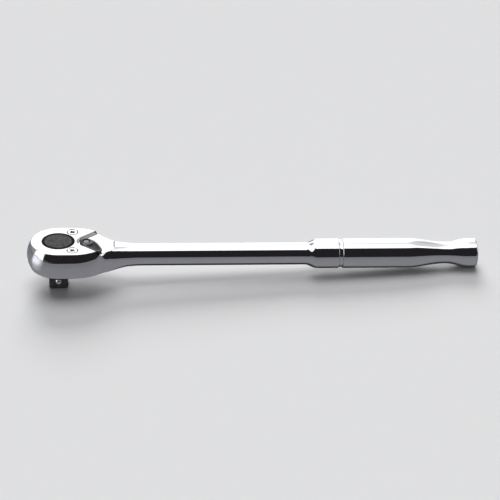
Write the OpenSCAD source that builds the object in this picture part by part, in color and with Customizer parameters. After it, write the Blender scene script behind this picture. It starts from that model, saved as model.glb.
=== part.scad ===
// Reversible ratchet handle with a 1/2 in square drive.
// Millimetres, +Z up. The origin is the centre of the square drive's end face,
// +X runs along the handle, and the drive turns about the Z axis.

/* [Square drive] */
// Width of the square drive across its flats
square_w = 12.7; // [12.6:0.05:12.8]
// Length of the square drive, from its end face up to the head
square_len = 14.25; // [13.5:0.25:16]
// Radius the square's long corners are turned down to
square_turned_r = 8.45; // [8.2:0.05:8.7]
// Radius of the detent ball
ball_r = 2.38; // [2.2:0.02:2.4]
// Height of the detent ball above the end face
ball_z = 5.05; // [4.5:0.05:5.5]
// How far the detent ball stands out of the square
ball_proud = 1.45; // [1.2:0.05:1.6]

/* [Head] */
// Thickness of the head, cover plate included
head_h = 18.5; // [18:0.25:20]
// Half width of the head at its top and bottom edges
head_half_w = 18.2; // [18:0.1:19]
// How much wider each barrel-shaped side is at half height
head_bulge = 2.7; // [1.5:0.1:3]
// Length of the straight part of the head's sides
side_len = 10; // [9:0.5:11]
// Radius of the two arcs that close the head towards the neck
rear_r = 28; // [27:0.5:30]
// Thickness of the cover plate
cover_h = 2.9; // [2.7:0.05:3]
// Radius of the boss in the middle of the cover plate
boss_r = 10.7; // [10.5:0.02:10.8]
// Distance of each cover screw from the drive axis, along the handle
screw_x = 9.47; // [9.2:0.05:9.8]
// Distance of each cover screw from the centre line
screw_y = 12.38; // [12.2:0.05:12.7]

/* [Ratchet] */
// Number of teeth on the ratchet wheel
teeth = 36; // [36]
// Tip radius of the ratchet wheel
tip_r = 12; // [11.9:0.05:12.05]
// Depth of a tooth
tooth_depth = 0.95; // [0.85:0.05:1]
// Distance from the drive axis to the lever and pawl axis
pivot_x = 18.7; // [18.5:0.1:18.9]
// Half of the pawl's rock, between either engaged end and the middle
rock = 5; // [5:0.25:5.5]

/* [Lever] */
// Swing of the lever from one wall of the notch to the other
lever_swing = 108; // [100:1:108]
// Length of the lever from its axis to its tip
lever_len = 15.8; // [15:0.2:16.4]
// Half width of the lever at its widest
lever_half_w = 5; // [4.8:0.05:5.1]
// Radius of the lever's hub
lever_hub_r = 4.4; // [4.2:0.05:4.45]

/* [Handle] */
// Radius of the round neck
neck_r = 7.53; // [7:0.05:8]
// Height of the handle's axis above the end face of the drive
axis_z = 22.21; // [22:0.1:22.6]
// Where the neck starts to widen into the collar
collar_x0 = 165; // [160:1:168]
// Where the collar reaches its full radius
collar_x1 = 173.6; // [171:0.5:176]
// Radius of the collar and grip
grip_r = 10.07; // [9.5:0.05:10.5]
// Middle of the ring groove
groove_x = 189.1; // [186:0.5:192]
// Where the grip starts to narrow
waist_x0 = 235; // [230:1:240]
// Middle of the waist
waist_x = 261; // [259:0.5:263]
// Radius of the waist
waist_r = 7.4; // [6.8:0.05:7.6]
// Where the flared end starts
flare_x = 276.5; // [275:0.5:278]
// Radius of the flared end
flare_r = 9.83; // [9.5:0.05:10.2]
// Total length from the drive axis to the end of the grip
end_x = 283.5; // [282:0.5:286]

/* [Hidden] */

fit = 0.05;                      // radial clearance of most bores

// heights in the head
head_z0 = square_len;            // underside of the head
head_z1 = head_z0 + head_h;      // top of the cover plate
floor_z = head_z1 - cover_h;     // floor of the notch and underside of the cover
mid_z = head_z0 + head_h / 2;    // half height of the head
gear_z0 = head_z0 + 4.77;        // underside of the toothed wheel
gear_z1 = floor_z - 0.8;         // top of the toothed wheel
chamber_z = head_z0 + 4.25;      // floor of the ratchet chamber
web_z = floor_z - 2.25;          // roof of the pawl chamber
plunger_z = chamber_z + 5.2;     // axis of the pawl's plunger

// outline of the head
barrel_r = (pow(head_h / 2, 2) + pow(head_bulge, 2)) / (2 * head_bulge);
rear_y = rear_r - head_half_w;   // how far over the centre line the closing arcs are centred
seam = 0.03;                     // step that keeps the rear arcs clear of the straight sides
step_x = 37.2;                   // where the notch floor meets the neck
notch_r = 6.4;                   // radius at the closed end of the notch
notch_slope = 0.87;              // slope of the notch's walls

// drive gear, disc and seal
root_r = tip_r - tooth_depth;
journal_r = 9.2;
disc_r = 9.6;
disc_z = head_z1 - 0.85;
seal_z = head_z0 + 1.15;         // lower edge of the seal's groove
seal_groove_h = 1.2;
ball_y = -square_w / 2 - ball_proud + ball_r;
ball_hole_y = 2.7;               // closed end of the ball's hole

// cover screws
screw_r = 1.95;
screw_head_z = head_z1 - 1.75;   // bottom of the countersunk head
recess_z = head_z1 - 1.55;       // bottom of the cross recess

// lever, its shaft and plunger
lever_angle = -lever_swing / 2;  // where the lever rests
shaft_r = 2.5;
shaft_z = chamber_z - 2.2;       // lower end of the shaft
shaft_collar_r = 3;
pin_r = 1.95;
pin_top_z = floor_z + 2.6;
lever_z = floor_z + 0.95;        // underside of the lever's blade
lever_h = 1.85;
plunger_r = 0.8;

steel = [0.78, 0.79, 0.8];
black = [0.1, 0.1, 0.11];
washer_steel = [0.6, 0.6, 0.62];
polished_steel = [0.75, 0.76, 0.78];

// ---- helpers -----------------------------------------------------------------

module up(z) translate([0, 0, z]) children();

module ring(inner, outer, height) {
    difference() {
        cylinder(r = outer, h = height, $fn = 96);
        up(-1) cylinder(r = inner, h = height + 2, $fn = 96);
    }
}

// coil of round wire standing on z = 0, closed by a flat ring at each end
module coil(mean_r, wire_r, height, turns) {
    up(wire_r)
        linear_extrude(height = height - 2 * wire_r, twist = -360 * turns,
                       slices = 14 * turns, convexity = 6)
            translate([mean_r, 0]) circle(r = wire_r, $fn = 8);
    for (z = [wire_r, height - wire_r])
        up(z) rotate_extrude($fn = 48) translate([mean_r, 0]) circle(r = wire_r, $fn = 16);
}

// once for each cover screw; $side is -1 or 1
module at_screws() {
    for ($side = [-1, 1]) translate([screw_x, $side * screw_y, 0]) children();
}

// moves children from the origin to the lever and pawl axis, turned
module at_pivot(turn) {
    translate([pivot_x, 0, 0]) rotate([0, 0, turn]) children();
}

// turns children in place about the lever and pawl axis
module about_pivot(turn) at_pivot(turn) translate([-pivot_x, 0, 0]) children();

module lever_frame() at_pivot(lever_angle) children();

// in the lever's frame, lays children's +Z along -X from a start on the plunger's axis
module on_plunger_axis(x) translate([x, 0, plunger_z]) rotate([0, -90, 0]) children();

// ---- outer shape of the head -------------------------------------------------

// half of the barrel-sided section, half_w wide at its top and bottom edges
module half_section(half_w, low, high) {
    barrel_x = half_w + head_bulge - barrel_r;
    intersection() {
        translate([0, low]) square([half_w + 10, high - low]);
        union() {
            translate([barrel_x, mid_z]) circle(r = barrel_r, $fn = 96);
            translate([0, low]) square([barrel_x, high - low]);
        }
    }
}

module rear_arc(y, low, high) {
    translate([side_len, y, 0])
        rotate_extrude($fn = 96) half_section(rear_r - seam, low, high);
}

module head_shape(low, high) {
    // half-round nose
    rotate([0, 0, 90])
        rotate_extrude(angle = 180, $fn = 96) half_section(head_half_w, low, high);
    // straight sides
    rotate([90, 0, 90]) linear_extrude(side_len) {
        half_section(head_half_w, low, high);
        mirror([1, 0]) half_section(head_half_w, low, high);
    }
    // two arcs that meet on the centre line
    intersection() {
        rear_arc(-rear_y, low, high);
        rear_arc(rear_y, low, high);
        translate([side_len - 2, -30, low - 1]) cube([40, 60, high - low + 2]);
    }
}

// half width of the head at height z
function half_w_at(z) =
    head_half_w + head_bulge - barrel_r + sqrt(pow(barrel_r, 2) - pow(z - mid_z, 2));

// the same outline for the thin cover plate, where the barrel side is all but straight
module plate_shape() {
    flank = half_w_at(floor_z) - head_half_w;   // extra half width at the underside
    module plate_cone(radius) {
        cylinder(r1 = radius + flank, r2 = radius, h = cover_h, $fn = 96);
    }
    up(floor_z) {
        intersection() {
            plate_cone(head_half_w);
            translate([-40, -40, -1]) cube([40, 80, cover_h + 2]);
        }
        rotate([90, 0, 90]) linear_extrude(side_len)
            polygon([[-head_half_w - flank, 0], [head_half_w + flank, 0],
                     [head_half_w, cover_h], [-head_half_w, cover_h]]);
        intersection() {
            translate([side_len, -rear_y, 0]) plate_cone(rear_r);
            translate([side_len, rear_y, 0]) plate_cone(rear_r);
            translate([side_len, -30, -1]) cube([40, 60, cover_h + 2]);
        }
    }
}

// ---- shoulder between the head and the round neck ----------------------------

under_h = axis_z - head_z0;      // from the head's underside up to the handle's axis

// stations: x, half width, height and squareness above the axis,
// height and squareness below it
shoulder = [
    [23.5, 17.2, 8.6, 6, under_h - 0.04, 6],
    [28.0, 14.9, 8.6, 6, under_h - 0.06, 6],
    [32.5, 12.3, 9.1, 3.3, under_h - 0.08, 6],
    [36.5, 10.15, 8.8, 2.8, under_h - 0.1, 5],
    [41.0, 9.1, 8.1, 2.5, 7.85, 3],
    [46.5, 8.2, 7.75, 2.2, 7.65, 2.15],
    [54.5, neck_r - 0.12, neck_r - 0.12, 2, neck_r - 0.12, 2]
];

function signed_pow(value, power) = sign(value) * pow(abs(value), power);

// rounded section across the handle, points counted round from +Y
function section(half_w, top_h, top_square, low_h, low_square, count = 32) = [
    for (i = [0:count - 1])
        let (angle = 360 * i / count,
             is_top = sin(angle) > 0,
             power = 2 / (is_top ? top_square : low_square))
        [half_w * signed_pow(cos(angle), power),
         (is_top ? top_h : low_h) * signed_pow(sin(angle), power)]
];

module slice(station) {
    translate([station[0], 0, axis_z]) rotate([90, 0, 90]) linear_extrude(0.02)
        polygon(section(station[1], station[2], station[3], station[4], station[5]));
}

module shoulder_shape() {
    for (i = [0:len(shoulder) - 2]) hull() {
        slice(shoulder[i]);
        slice(shoulder[i + 1]);
    }
}

// ---- neck and grip -----------------------------------------------------------

neck_x0 = 50;                    // start of the neck, inside the shoulder
collar_edge = 0.25;              // bevel where the collar reaches its full radius
edge_in = 1.5;                   // rounded edge of the end, inwards
edge_len = 1.7;                  // rounded edge of the end, along the handle
dome_h = 1.15;                   // height of the domed end face

// ring groove: depth below the grip, distance from the groove's middle
groove = [[0, -1.85], [0.2, -1.65], [0.9, -1.6], [0.9, 1.6], [0.2, 1.65], [0, 1.85]];

function ease(t) = (1 - cos(180 * t)) / 2;

// smooth change of radius from r0 at x0 to r1 at x1, as steps first to count
function blend(r0, x0, r1, x1, first, count) =
    [for (i = [first:count]) [r0 + (r1 - r0) * ease(i / count), x0 + (x1 - x0) * i / count]];

// radius, distance along the handle
function grip_profile() = concat(
    [[0, neck_x0], [neck_r - 0.3, neck_x0], [neck_r, neck_x0 + 1.5], [neck_r, collar_x0]],
    blend(neck_r, collar_x0, grip_r - collar_edge, collar_x1 - collar_edge, 1, 6),
    [[grip_r, collar_x1]],
    [for (point = groove) [grip_r - point[0], groove_x + point[1]]],
    [[grip_r, waist_x0]],
    blend(grip_r, waist_x0, waist_r, waist_x - 1, 1, 12),
    blend(waist_r, waist_x + 1, flare_r, flare_x, 0, 8),
    [for (i = [0:6]) [flare_r - edge_in * (1 - cos(15 * i)),
                      end_x - dome_h - edge_len * (1 - sin(15 * i))]],
    [for (i = [1:5]) [(flare_r - edge_in) * (1 - i / 5), end_x - dome_h * pow(1 - i / 5, 2)]]
);

module neck_and_grip() {
    up(axis_z) rotate([0, 90, 0]) rotate_extrude($fn = 96) polygon(grip_profile());
}

// ---- outlines of the ratchet wheel and pawl ----------------------------------

// toothed outline with a clearance added all round
module wheel_shape(clearance) {
    pitch = 360 / teeth;
    widening = 1.35 * clearance / tip_r * 180 / PI;
    root_half = 0.5 * pitch - 0.5 + widening;   // half angle of a tooth at its root
    tip_half = 0.35 + widening;                 // and at its tip
    low = root_r + clearance;
    high = tip_r + clearance;
    // radius, angle
    outline = [for (i = [0:teeth - 1]) let (middle = pitch * i)
        each [[low, middle - root_half], [high, middle - tip_half],
              [high, middle + tip_half], [low, middle + root_half]]];
    polygon([for (point = outline) [point[0] * cos(point[1]), point[0] * sin(point[1])]]);
}

// circle cut by a wedge that opens along +X from apex_x to half_w at x = 40
module pawl_wedge(radius, apex_x, half_w) {
    intersection() {
        translate([12.6, 0]) circle(r = radius, $fn = 96);
        polygon([[apex_x, 0], [40, half_w], [40, -half_w]]);
    }
}

// ---- body and cover ----------------------------------------------------------

module ratchet_body() {
    color(steel) difference() {
        union() {
            difference() {
                union() {
                    head_shape(head_z0, floor_z + 0.6);
                    shoulder_shape();
                }
                // flat floor of the notch, milled as far as the neck
                translate([-40, -40, floor_z]) cube([step_x + 40, 80, 20]);
            }
            neck_and_grip();
        }
        // ratchet chamber, lower bearing bore and pawl chamber
        up(chamber_z) cylinder(r = tip_r + 0.2, h = 30, $fn = 96);
        up(head_z0 - 1) cylinder(r = journal_r + fit, h = 20, $fn = 96);
        up(chamber_z) linear_extrude(web_z - chamber_z) pawl_wedge(10.8, 0.5, 37.2);
        // lever shaft bearings
        translate([pivot_x, 0, web_z - 1]) cylinder(r = shaft_collar_r + fit, h = 10, $fn = 48);
        translate([pivot_x, 0, shaft_z - 0.1]) cylinder(r = shaft_r + fit, h = 5, $fn = 48);
        // holes for the cover screws
        at_screws() up(floor_z - 6.4) cylinder(r = screw_r + fit, h = 12, $fn = 32);
    }
}

// notch the lever swings in: a round closed end and two walls that open along +X
module notch() {
    wall_angle = atan(notch_slope);
    wall_x = pivot_x - notch_r * sin(wall_angle);
    wall_y = notch_r * cos(wall_angle);
    reach = 30;
    open_y = wall_y + reach * notch_slope;
    up(floor_z - 1) {
        translate([pivot_x, 0, 0]) cylinder(r = notch_r, h = 10, $fn = 96);
        linear_extrude(10) polygon([[wall_x, wall_y], [wall_x + reach, open_y],
                                    [wall_x + reach, -open_y], [wall_x, -wall_y]]);
    }
}

module cover_plate() {
    screw_hole_r = 2.15;
    color(steel) difference() {
        plate_shape();
        up(floor_z - 1) cylinder(r = boss_r + 0.08, h = 10, $fn = 96);
        notch();
        at_screws() {
            up(floor_z - 1) cylinder(r = screw_hole_r, h = 10, $fn = 32);
            up(screw_head_z) cylinder(r1 = screw_hole_r, r2 = 3.9, h = 1.76, $fn = 48);
        }
    }
}

module cover_screw() {
    slot_len = 3;
    slot_w = 0.72;
    difference() {
        union() {
            up(floor_z - 6) cylinder(r = screw_r, h = 7, $fn = 32);
            up(screw_head_z) cylinder(r1 = 2.0, r2 = 3.72, h = 1.7, $fn = 48);
        }
        // cross recess
        for (angle = [0, 90]) rotate([0, 0, angle])
            translate([-slot_len / 2, -slot_w / 2, recess_z]) cube([slot_len, slot_w, 3]);
        up(recess_z) cylinder(r1 = 0.5, r2 = 0.95, h = 1.6, $fn = 24);
    }
}

module cover_screws() {
    color([0.72, 0.73, 0.75]) at_screws() rotate([0, 0, 38 * $side]) cover_screw();
}

// ---- drive -------------------------------------------------------------------

module drive_gear() {
    boss_z0 = gear_z1 - 0.5;
    rim_z = head_z1 + 0.05;      // where the boss's chamfer starts
    chamfer_h = 0.6;             // chamfer at the square's end
    color(black) difference() {
        union() {
            up(gear_z0) linear_extrude(gear_z1 - gear_z0) wheel_shape(0);
            // boss through the cover plate, with a chamfered rim
            up(boss_z0) cylinder(r = boss_r, h = rim_z - boss_z0, $fn = 96);
            up(rim_z) cylinder(r1 = boss_r, r2 = boss_r - 0.3, h = 0.25, $fn = 96);
            // lower journal
            up(head_z0 - 0.5) cylinder(r = journal_r, h = 8, $fn = 96);
            // square drive with turned corners and a chamfered end
            intersection() {
                translate([-square_w / 2, -square_w / 2, 0])
                    cube([square_w, square_w, head_z0 + 2]);
                union() {
                    cylinder(r1 = square_turned_r - 0.7, r2 = square_turned_r,
                             h = chamfer_h, $fn = 96);
                    up(chamfer_h) cylinder(r = square_turned_r, h = head_z0 + 2, $fn = 96);
                }
            }
        }
        // seat of the disc
        up(disc_z) cylinder(r = disc_r + fit, h = 5, $fn = 96);
        // groove for the seal
        up(seal_z) difference() {
            cylinder(r = journal_r + 1, h = seal_groove_h, $fn = 96);
            up(-1) cylinder(r = 8.1, h = 4, $fn = 96);
        }
        // hole for the detent ball and its spring
        translate([0, ball_hole_y, ball_z]) rotate([90, 0, 0])
            cylinder(r = ball_r + fit, h = 12, $fn = 48);
    }
}

module boss_disc() {
    flat_h = head_z1 - disc_z;
    color([0.34, 0.35, 0.37]) up(disc_z) {
        cylinder(r = disc_r, h = flat_h, $fn = 96);
        up(flat_h) cylinder(r1 = disc_r, r2 = disc_r - 0.2, h = 0.2, $fn = 96);
    }
}

module thrust_washer() {
    color([0.55, 0.5, 0.4]) up(chamber_z) ring(journal_r + 0.15, 11.8, 0.5);
}

module friction_washer() {
    washer_z = gear_z1 + 0.02;
    color(washer_steel) up(washer_z) ring(boss_r + 0.12, 12, floor_z - washer_z);
}

module drive_o_ring() {
    color([0.08, 0.08, 0.08]) up(seal_z + seal_groove_h / 2)
        rotate_extrude($fn = 96) translate([8.66, 0]) circle(r = 0.55, $fn = 32);
}

module socket_ball() {
    color([0.8, 0.81, 0.82]) translate([0, ball_y, ball_z]) sphere(r = ball_r, $fn = 48);
}

module ball_spring() {
    spring_y = ball_hole_y - 0.02;
    overlap = 0.53;              // how far the spring reaches past the ball's back
    color(washer_steel) translate([0, spring_y, ball_z]) rotate([90, 0, 0])
        coil(mean_r = 1.6, wire_r = 0.27, height = spring_y - ball_y - ball_r + overlap,
             turns = 5);
}

// ---- pawl, lever and shaft ---------------------------------------------------

module pawl() {
    pocket_h = 2.4;
    // drawn in the middle of its rock, then turned onto its resting end
    color([0.5, 0.5, 0.52]) about_pivot(rock) difference() {
        up(chamber_z + 0.6) linear_extrude(web_z - chamber_z - 1.4) difference() {
            pawl_wedge(10, 1.5, 33.6);
            circle(r = root_r + 0.1, $fn = 96);
            // room for the wheel's teeth all through the rock, so only the ends keep theirs
            for (angle = [-rock:1:rock]) about_pivot(angle) wheel_shape(0.07);
        }
        translate([pivot_x, 0, 0]) cylinder(r = shaft_r + fit, h = 60, $fn = 48);
        // pocket the plunger swings in
        translate([pivot_x, 0, plunger_z - pocket_h / 2]) linear_extrude(pocket_h)
            intersection() {
                circle(r = 3.5, $fn = 48);
                polygon([[0, 0], [-2, 8], [-8, 8], [-8, -8], [-2, -8]]);
            }
    }
}

module lever_shaft() {
    bevel_z = pin_top_z - 0.2;
    color(polished_steel) lever_frame() difference() {
        union() {
            up(shaft_z) cylinder(r = shaft_r, h = web_z - shaft_z, $fn = 48);
            up(web_z - 0.04) cylinder(r = shaft_collar_r, h = floor_z - web_z + 0.24, $fn = 48);
            up(floor_z) cylinder(r = pin_r, h = bevel_z - floor_z, $fn = 48);
            up(bevel_z) cylinder(r1 = pin_r, r2 = 1.7, h = 0.2, $fn = 48);
        }
        // groove for the retaining ring
        up(web_z - 0.62) ring(1.95, 4, 0.56);
        // dimple in the end of the pin
        up(pin_top_z + 3.8) sphere(r = 4, $fn = 64);
        // cross hole for the plunger
        on_plunger_axis(1.7) cylinder(r = plunger_r + fit, h = 8, $fn = 32);
    }
}

module lever_retaining_ring() {
    gap = 2.4;
    color([0.3, 0.3, 0.32]) lever_frame() up(web_z - 0.59) difference() {
        ring(1.98, 3.7, 0.5);
        translate([0, -gap / 2, -1]) cube([8, gap, 3]);
    }
}

module pawl_plunger() {
    straight_len = 1.6;
    color(polished_steel) lever_frame() on_plunger_axis(-1.1) {
        cylinder(r = plunger_r, h = straight_len, $fn = 32);
        up(straight_len) cylinder(r1 = plunger_r, r2 = 0.35, h = 0.6, $fn = 32);
    }
}

module plunger_spring() {
    color(washer_steel) lever_frame() on_plunger_axis(1.68)
        coil(mean_r = 0.55, wire_r = 0.12, height = 2.76, turns = 5);
}

// distance from the lever's axis and half width there,
// as shares of its length and widest half width
lever_taper = [
    [0, 0.88], [0.076, 0.964], [0.158, 1], [0.253, 0.984], [0.348, 0.94],
    [0.494, 0.86], [0.639, 0.76], [0.728, 0.68], [0.835, 0.55], [0.911, 0.41],
    [0.962, 0.27], [0.987, 0.15], [0.997, 0.07], [1, 0]
];

function lever_side(side) =
    [for (point = lever_taper) [lever_len * point[0], side * lever_half_w * point[1]]];

module lever_outline() {
    circle(r = lever_hub_r, $fn = 64);
    // out along one side and back along the other, with the tip point used once
    polygon(concat(lever_side(1),
                   [for (i = [len(lever_taper) - 2:-1:0]) lever_side(-1)[i]]));
}

module reversing_lever() {
    color(black) lever_frame() difference() {
        union() {
            up(lever_z) linear_extrude(lever_h) lever_outline();
            up(floor_z + 0.12) cylinder(r = 3.4, h = 1.5, $fn = 48);
        }
        // the upper face falls towards the tip
        translate([2, -10, lever_z + lever_h]) rotate([0, 2.5, 0]) cube([20, 20, 5]);
        // dish for the thumb
        intersection() {
            translate([8.9, 0, floor_z + 13.25]) sphere(r = 11.8, $fn = 96);
            translate([4.6, -10, floor_z + 1.2]) cube([20, 20, 5]);
        }
        // recess round the pin
        up(floor_z + 2.0) cylinder(r = 2.65, h = 5, $fn = 48);
        // bores for the pin and for the shaft's collar
        up(floor_z - 1) cylinder(r = pin_r, h = 10, $fn = 48);
        up(floor_z - 1) cylinder(r = shaft_collar_r + fit, h = 1.25, $fn = 48);
    }
}

ratchet_body();
cover_plate();
cover_screws();
drive_gear();
boss_disc();
thrust_washer();
friction_washer();
drive_o_ring();
socket_ball();
ball_spring();
pawl();
lever_shaft();
reversing_lever();
lever_retaining_ring();
pawl_plunger();
plunger_spring();
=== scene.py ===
"""A reversible ratchet handle with a round head, a square drive and a thumb lever.

The handle lies along X: the grip ends at +X and the head's nose points to -X. The drive turns
about the Z axis through the origin, with its square hanging below the head. The lever and the
cover plate are on top. The camera looks from -Y, so the nose is on its left.
Sizes are in millimetres and finished pieces are scaled to metres.
"""
import math

import bmesh
import bpy
from mathutils import Matrix, Vector


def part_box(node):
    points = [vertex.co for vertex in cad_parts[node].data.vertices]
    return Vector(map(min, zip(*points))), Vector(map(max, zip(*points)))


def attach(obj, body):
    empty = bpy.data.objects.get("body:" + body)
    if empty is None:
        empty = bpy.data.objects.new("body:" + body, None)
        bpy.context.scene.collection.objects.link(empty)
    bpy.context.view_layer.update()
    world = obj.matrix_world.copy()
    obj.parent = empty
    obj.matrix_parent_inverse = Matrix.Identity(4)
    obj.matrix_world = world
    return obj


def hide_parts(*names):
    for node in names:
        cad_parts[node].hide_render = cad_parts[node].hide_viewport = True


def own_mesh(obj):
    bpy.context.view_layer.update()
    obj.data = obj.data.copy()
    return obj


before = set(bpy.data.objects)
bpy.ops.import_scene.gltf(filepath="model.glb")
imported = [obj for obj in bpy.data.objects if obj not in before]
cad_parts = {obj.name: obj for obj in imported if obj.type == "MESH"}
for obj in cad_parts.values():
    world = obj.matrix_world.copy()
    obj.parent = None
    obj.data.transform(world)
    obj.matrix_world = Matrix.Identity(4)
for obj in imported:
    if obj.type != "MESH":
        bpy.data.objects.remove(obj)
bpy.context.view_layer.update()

SCENE = bpy.context.scene
MM = 0.001


# ---------------------------------------------------------------- shared sizes, millimetres

def box_mm(node):
    lo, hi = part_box(node)
    return lo * 1000.0, hi * 1000.0


BODY_LO, BODY_HI = box_mm("ratchet_body")
PLATE_LO, PLATE_HI = box_mm("cover_plate")
BALL_LO, BALL_HI = box_mm("socket_ball")

# heights
LOWER_WALL = 4.25                   # from the underside of the head to the chamber floor
HEAD_BOTTOM = box_mm("thrust_washer")[0].z - LOWER_WALL
NOTCH_Z = PLATE_LO.z                # notch floor, underside of the cover plate
HEAD_TOP = PLATE_HI.z
HEAD_MID = HEAD_BOTTOM + (HEAD_TOP - HEAD_BOTTOM) / 2
CHAMBER_Z = HEAD_BOTTOM + LOWER_WALL
WEB_Z = NOTCH_Z - 2.25              # roof of the pawl chamber
PLUNGER_Z = CHAMBER_Z + 5.2

# head, seen from above: a round nose, short straight sides, then long arcs closing to the neck
HEAD_HALF = 18.2
BULGE = 2.7                         # how far the barrel side swells at mid height
BARREL_R = (((HEAD_TOP - HEAD_BOTTOM) / 2) ** 2 + BULGE ** 2) / (2 * BULGE)
SIDE_LENGTH = 10.0
REAR_R = 28.0
REAR_Y = REAR_R - HEAD_HALF
SCREW_XY = ((9.47, -12.38), (9.47, 12.38))

# neck and grip, round about a line along X
AXIS_Z = 22.21
STEP_X = 37.2                       # where the flat notch floor steps up to the neck
NECK_R = 7.53
GRIP_R = 10.07
GRIP_END_X = BODY_HI.x

# lever
PIVOT_X = 18.7
LEVER_ANGLE = math.radians(-54.0)
LEVER_PLACE = Matrix.Translation((PIVOT_X, 0, 0)) @ Matrix.Rotation(LEVER_ANGLE, 4, "Z")
LEVER_TOP = 2.8                     # upper face above the notch floor
FALL_START = 2.0                    # distance from the pin where the face starts to fall
LEVER_FALL = math.tan(math.radians(2.5))

# drive
BOSS_R = 10.7
BALL_R = (BALL_HI.x - BALL_LO.x) / 2
BALL_CENTRE = (BALL_LO + BALL_HI) / 2


# ---------------------------------------------------------------- curves and numbers

def smooth(t):
    t = min(1.0, max(0.0, t))
    return t * t * (3 - 2 * t)


def ease(t):
    return (1 - math.cos(math.pi * t)) / 2


def steps(start, stop, step):
    """Even steps from start that stay below stop."""
    out = []
    value = start
    while value < stop:
        out.append(value)
        value += step
    return out


def quarter_turn(count):
    """Angles up to a quarter turn, without the zero."""
    return [math.pi / 2 * i / count for i in range(1, count + 1)]


def radians(*degrees):
    return tuple(math.radians(d) for d in degrees)


def monotone_curve(xs, ys):
    """A smooth curve through the points that never overshoots."""
    n = len(xs)
    gap = [xs[i + 1] - xs[i] for i in range(n - 1)]
    slope = [(ys[i + 1] - ys[i]) / gap[i] for i in range(n - 1)]
    tangent = [0.0] * n
    for i in range(1, n - 1):
        if slope[i - 1] * slope[i] > 0:
            before = 2 * gap[i] + gap[i - 1]
            after = gap[i] + 2 * gap[i - 1]
            tangent[i] = (before + after) / (before / slope[i - 1] + after / slope[i])
    tangent[0], tangent[-1] = slope[0], slope[-1]

    def curve(x):
        if x <= xs[0]:
            return ys[0] + tangent[0] * (x - xs[0])
        if x >= xs[-1]:
            return ys[-1]
        i = max(k for k in range(n - 1) if xs[k] <= x)
        t = (x - xs[i]) / gap[i]
        return ((1 + 2 * t) * (1 - t) ** 2 * ys[i] + t * (1 - t) ** 2 * gap[i] * tangent[i]
                + t * t * (3 - 2 * t) * ys[i + 1] + t * t * (t - 1) * gap[i] * tangent[i + 1])
    return curve


# ---------------------------------------------------------------- mesh helpers

def tidy(mesh, merge, degenerate, drop_loose=False):
    """Merge doubled points, drop slivers and turn the normals outwards."""
    bm = bmesh.new()
    bm.from_mesh(mesh)
    bmesh.ops.remove_doubles(bm, verts=bm.verts, dist=merge)
    bmesh.ops.dissolve_degenerate(bm, dist=degenerate, edges=bm.edges)
    if drop_loose:
        loose = [v for v in bm.verts if not v.link_faces]
        bmesh.ops.delete(bm, geom=loose, context="VERTS")
    bmesh.ops.recalc_face_normals(bm, faces=bm.faces)
    bm.to_mesh(mesh)
    bm.free()


def new_object(name, verts, faces, merge=2e-4):
    mesh = bpy.data.meshes.new(name)
    mesh.from_pydata([tuple(v) for v in verts], [], faces)
    tidy(mesh, merge, merge / 4)
    ob = bpy.data.objects.new(name, mesh)
    SCENE.collection.objects.link(ob)
    return ob


def grid_faces(rows, columns, close_rows=False, close_columns=False):
    out = []
    for i in range(rows if close_rows else rows - 1):
        for j in range(columns if close_columns else columns - 1):
            here, there = i * columns, ((i + 1) % rows) * columns
            following = (j + 1) % columns
            out.append((here + j, there + j, there + following, here + following))
    return out


def loft(name, rings, close_rows=False):
    """Rings of equal length; every ring is closed."""
    verts = [p for ring in rings for p in ring]
    return new_object(name, verts, grid_faces(len(rings), len(rings[0]), close_rows, True))


def capped(name, rings):
    """A tube of closed rings with a flat cap at both ends."""
    n = len(rings[0])
    faces = grid_faces(len(rings), n, False, True)
    faces.append(tuple(range(n)))
    faces.append(tuple((len(rings) - 1) * n + i for i in range(n)))
    return new_object(name, [p for ring in rings for p in ring], faces, 1e-5)


def prism(name, sections):
    """sections: (z, outline) pairs with outlines of equal length."""
    return capped(name, [[(x, y, z) for x, y in outline] for z, outline in sections])


def lathe(name, profile, segments, place=None):
    """profile: (radius, height) pairs from the axis back to the axis, turned about Z."""
    turns = [2 * math.pi * i / segments for i in range(segments)]
    ob = loft(name, [[(r * math.cos(a), r * math.sin(a), z) for a in turns] for r, z in profile])
    if place is not None:
        ob.data.transform(place)
    return ob


def cut(ob, cutter):
    """Take the cutter away from the object, and remove the cutter."""
    mod = ob.modifiers.new("cut", "BOOLEAN")
    mod.operation = "DIFFERENCE"
    mod.solver = "EXACT"
    mod.object = cutter
    bpy.context.view_layer.update()
    depsgraph = bpy.context.evaluated_depsgraph_get()
    mesh = bpy.data.meshes.new_from_object(ob.evaluated_get(depsgraph))
    ob.modifiers.clear()
    old = ob.data
    ob.data = mesh
    bpy.data.meshes.remove(old)
    bpy.data.objects.remove(cutter)


def bore(ob, profile, segments, place=None):
    cut(ob, lathe("cutter", profile, segments, place))


def clean(ob):
    tidy(ob.data, 3e-4, 3e-4 / 3, drop_loose=True)


def thread(start, turn):
    """Thread rings up to just below the notch floor; turn: (radius, rise) points of one turn."""
    return [(r, z + rise) for z in steps(start, NOTCH_Z - 0.5, 0.7) for r, rise in turn]


def wrap_nose(stations, nose_steps):
    """Rows of points along the +Y side, round the nose about Z, and back along the -Y side.

    stations: (x, half section) pairs, each half section a list of (y, z).
    """
    rows = [[(x, y, z) for y, z in section] for x, section in reversed(stations)]
    for i in range(1, nose_steps):
        a = math.pi / 2 + math.pi * i / nose_steps
        rows.append([(y * math.cos(a), y * math.sin(a), z) for y, z in stations[0][1]])
    rows += [[(x, -y, z) for y, z in section] for x, section in stations]
    return rows


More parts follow.
